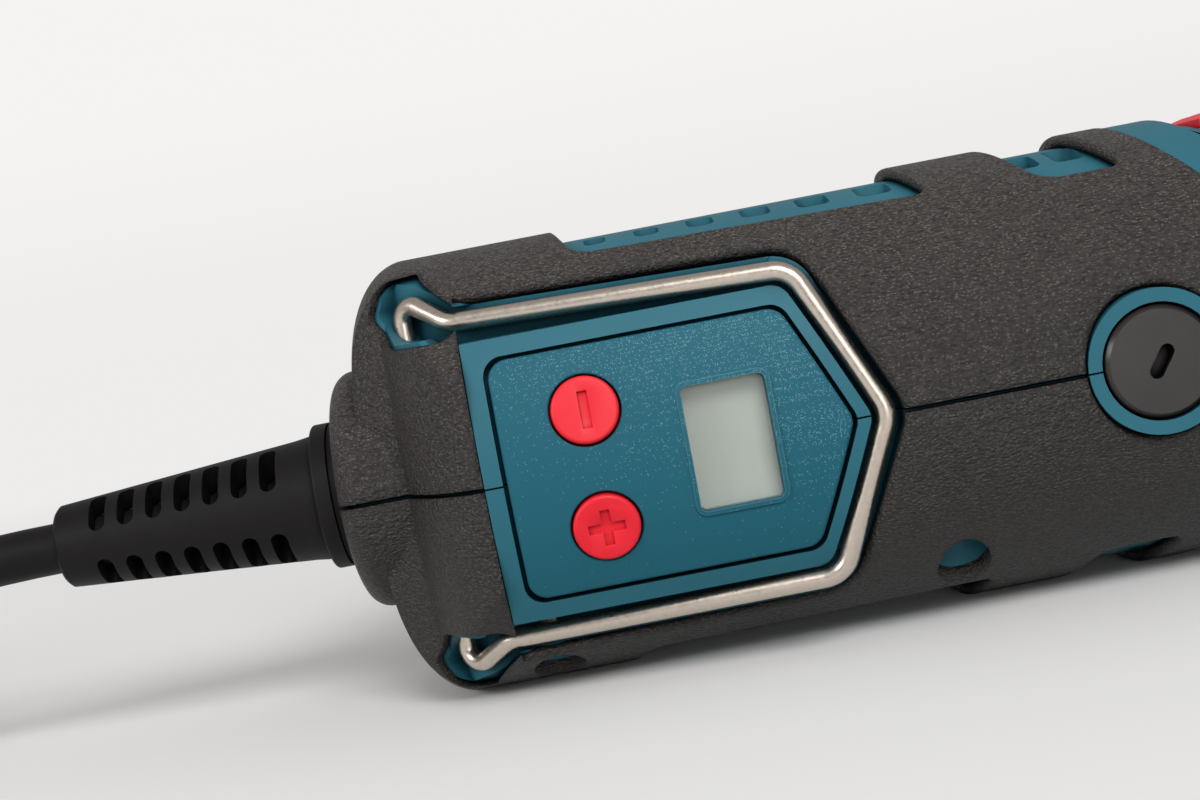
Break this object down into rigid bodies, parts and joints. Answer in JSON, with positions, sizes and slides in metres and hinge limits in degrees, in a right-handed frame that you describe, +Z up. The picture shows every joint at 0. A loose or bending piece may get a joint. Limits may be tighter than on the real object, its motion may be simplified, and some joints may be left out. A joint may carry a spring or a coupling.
{
  "type": "rotary_tool",
  "caption": "Corded rotary tool with a rubber-covered round body, a side display with two speed keys, a hanging wire bail, a thumb slide, a collet chuck and a mains lead put away in a hank",
  "frame": {"origin": "middle of the tool's length on the floor, under its axis; the free lead isn't counted", "axes": "+X along the tool's axis to the collet, -Y to the display side, +Z up"},
  "size_m": [0.438, 0.0646, 0.0528],
  "materials": {
    "petrol_plastic": "moulded petrol plastic, fine satin",
    "black_rubber": "soft moulded rubber",
    "red_plastic": "moulded red plastic",
    "clear_lens": "clear acrylic",
    "lcd_panel": "grey-green display glass",
    "board": "solder-masked board",
    "black_plastic": "moulded black plastic",
    "steel_wire": "satin drawn wire",
    "brass": "pressed brass",
    "carbon": "pressed carbon",
    "spring_steel": "drawn spring wire",
    "laminations": "stacked steel laminations",
    "copper": "enamelled copper",
    "ground_steel": "ground steel",
    "zinc_steel": "zinc-plated steel",
    "cord_rubber": "rubber-sheathed flex",
    "plug_plastic": "moulded plug",
    "nickel_brass": "nickel-plated brass"
  },
  "bodies": {
    "body": {"housing_upper": "petrol_plastic", "housing_lower": "petrol_plastic", "display_bezel": "petrol_plastic", "nose_cap": "petrol_plastic", "grip_upper": "black_rubber", "grip_lower": "black_rubber", "front_grip_upper": "black_rubber", "front_grip_lower": "black_rubber", "strain_relief": "black_rubber", "rear_bearing_cup": "black_rubber", "lcd_lens": "clear_lens", "lcd_module": "lcd_panel", "control_board": "board", "tact_switches": "black_plastic", "brush_caps": "black_plastic", "switch_block": "black_plastic", "air_baffle": "black_plastic", "cord_clamp": "black_plastic", "brush_holders": "brass", "carbon_brushes": "carbon", "brush_springs": "spring_steel", "lock_spring": "spring_steel", "stator_core": "laminations", "field_coils": "copper", "rear_bearing": "ground_steel", "front_bearing": "ground_steel", "housing_screws": "zinc_steel", "clamp_screws": "zinc_steel", "inner_cord": "cord_rubber", "mains_cord": "cord_rubber", "cord_hank": "cord_rubber", "mains_plug": "plug_plastic", "plug_pins": "nickel_brass"},
    "rotor": {"spindle": "ground_steel", "commutator": "copper", "armature_core": "laminations", "armature_winding": "copper", "cooling_fan": "black_plastic", "collet": "ground_steel"},
    "nut": {"collet_nut": "ground_steel"},
    "minus_key": {"minus_button": "red_plastic"},
    "plus_key": {"plus_button": "red_plastic"},
    "slide": {"power_slider": "red_plastic", "switch_bar": "black_plastic"},
    "lock": {"lock_button": "red_plastic"},
    "bail": {"hanging_bail": "steel_wire"}
  },
  "joints": [
    {"name": "spindle_spin", "type": "hinge", "parent": "body", "child": "rotor", "pos_m": [0.0433, 0, 0.026], "axis": [1, 0, 0], "continuous": true},
    {"name": "nut_turn", "type": "hinge", "parent": "rotor", "child": "nut", "pos_m": [0.1113, 0, 0.026], "axis": [1, 0, 0], "range_deg": [0, 180]},
    {"name": "minus_press", "type": "slide", "parent": "body", "child": "minus_key", "axis": [0, 0.9824, -0.1867], "range_m": [0, 0.0004], "stiffness_N_per_m": 900, "springref_m": -0.001},
    {"name": "plus_press", "type": "slide", "parent": "body", "child": "plus_key", "axis": [0, 0.9824, 0.1867], "range_m": [0, 0.0004], "stiffness_N_per_m": 900, "springref_m": -0.001},
    {"name": "power_slide", "type": "slide", "parent": "body", "child": "slide", "axis": [1, 0, 0], "range_m": [0, 0.005]},
    {"name": "lock_press", "type": "slide", "parent": "body", "child": "lock", "axis": [0, 0, -1], "range_m": [0, 0.0028], "stiffness_N_per_m": 700, "springref_m": -0.002, "deforming": ["lock_spring"]},
    {"name": "bail_swing", "type": "hinge", "parent": "body", "child": "bail", "pos_m": [-0.0731, -0.012, 0.026], "axis": [0, 0, -1], "range_deg": [0, 95]}
  ]
}
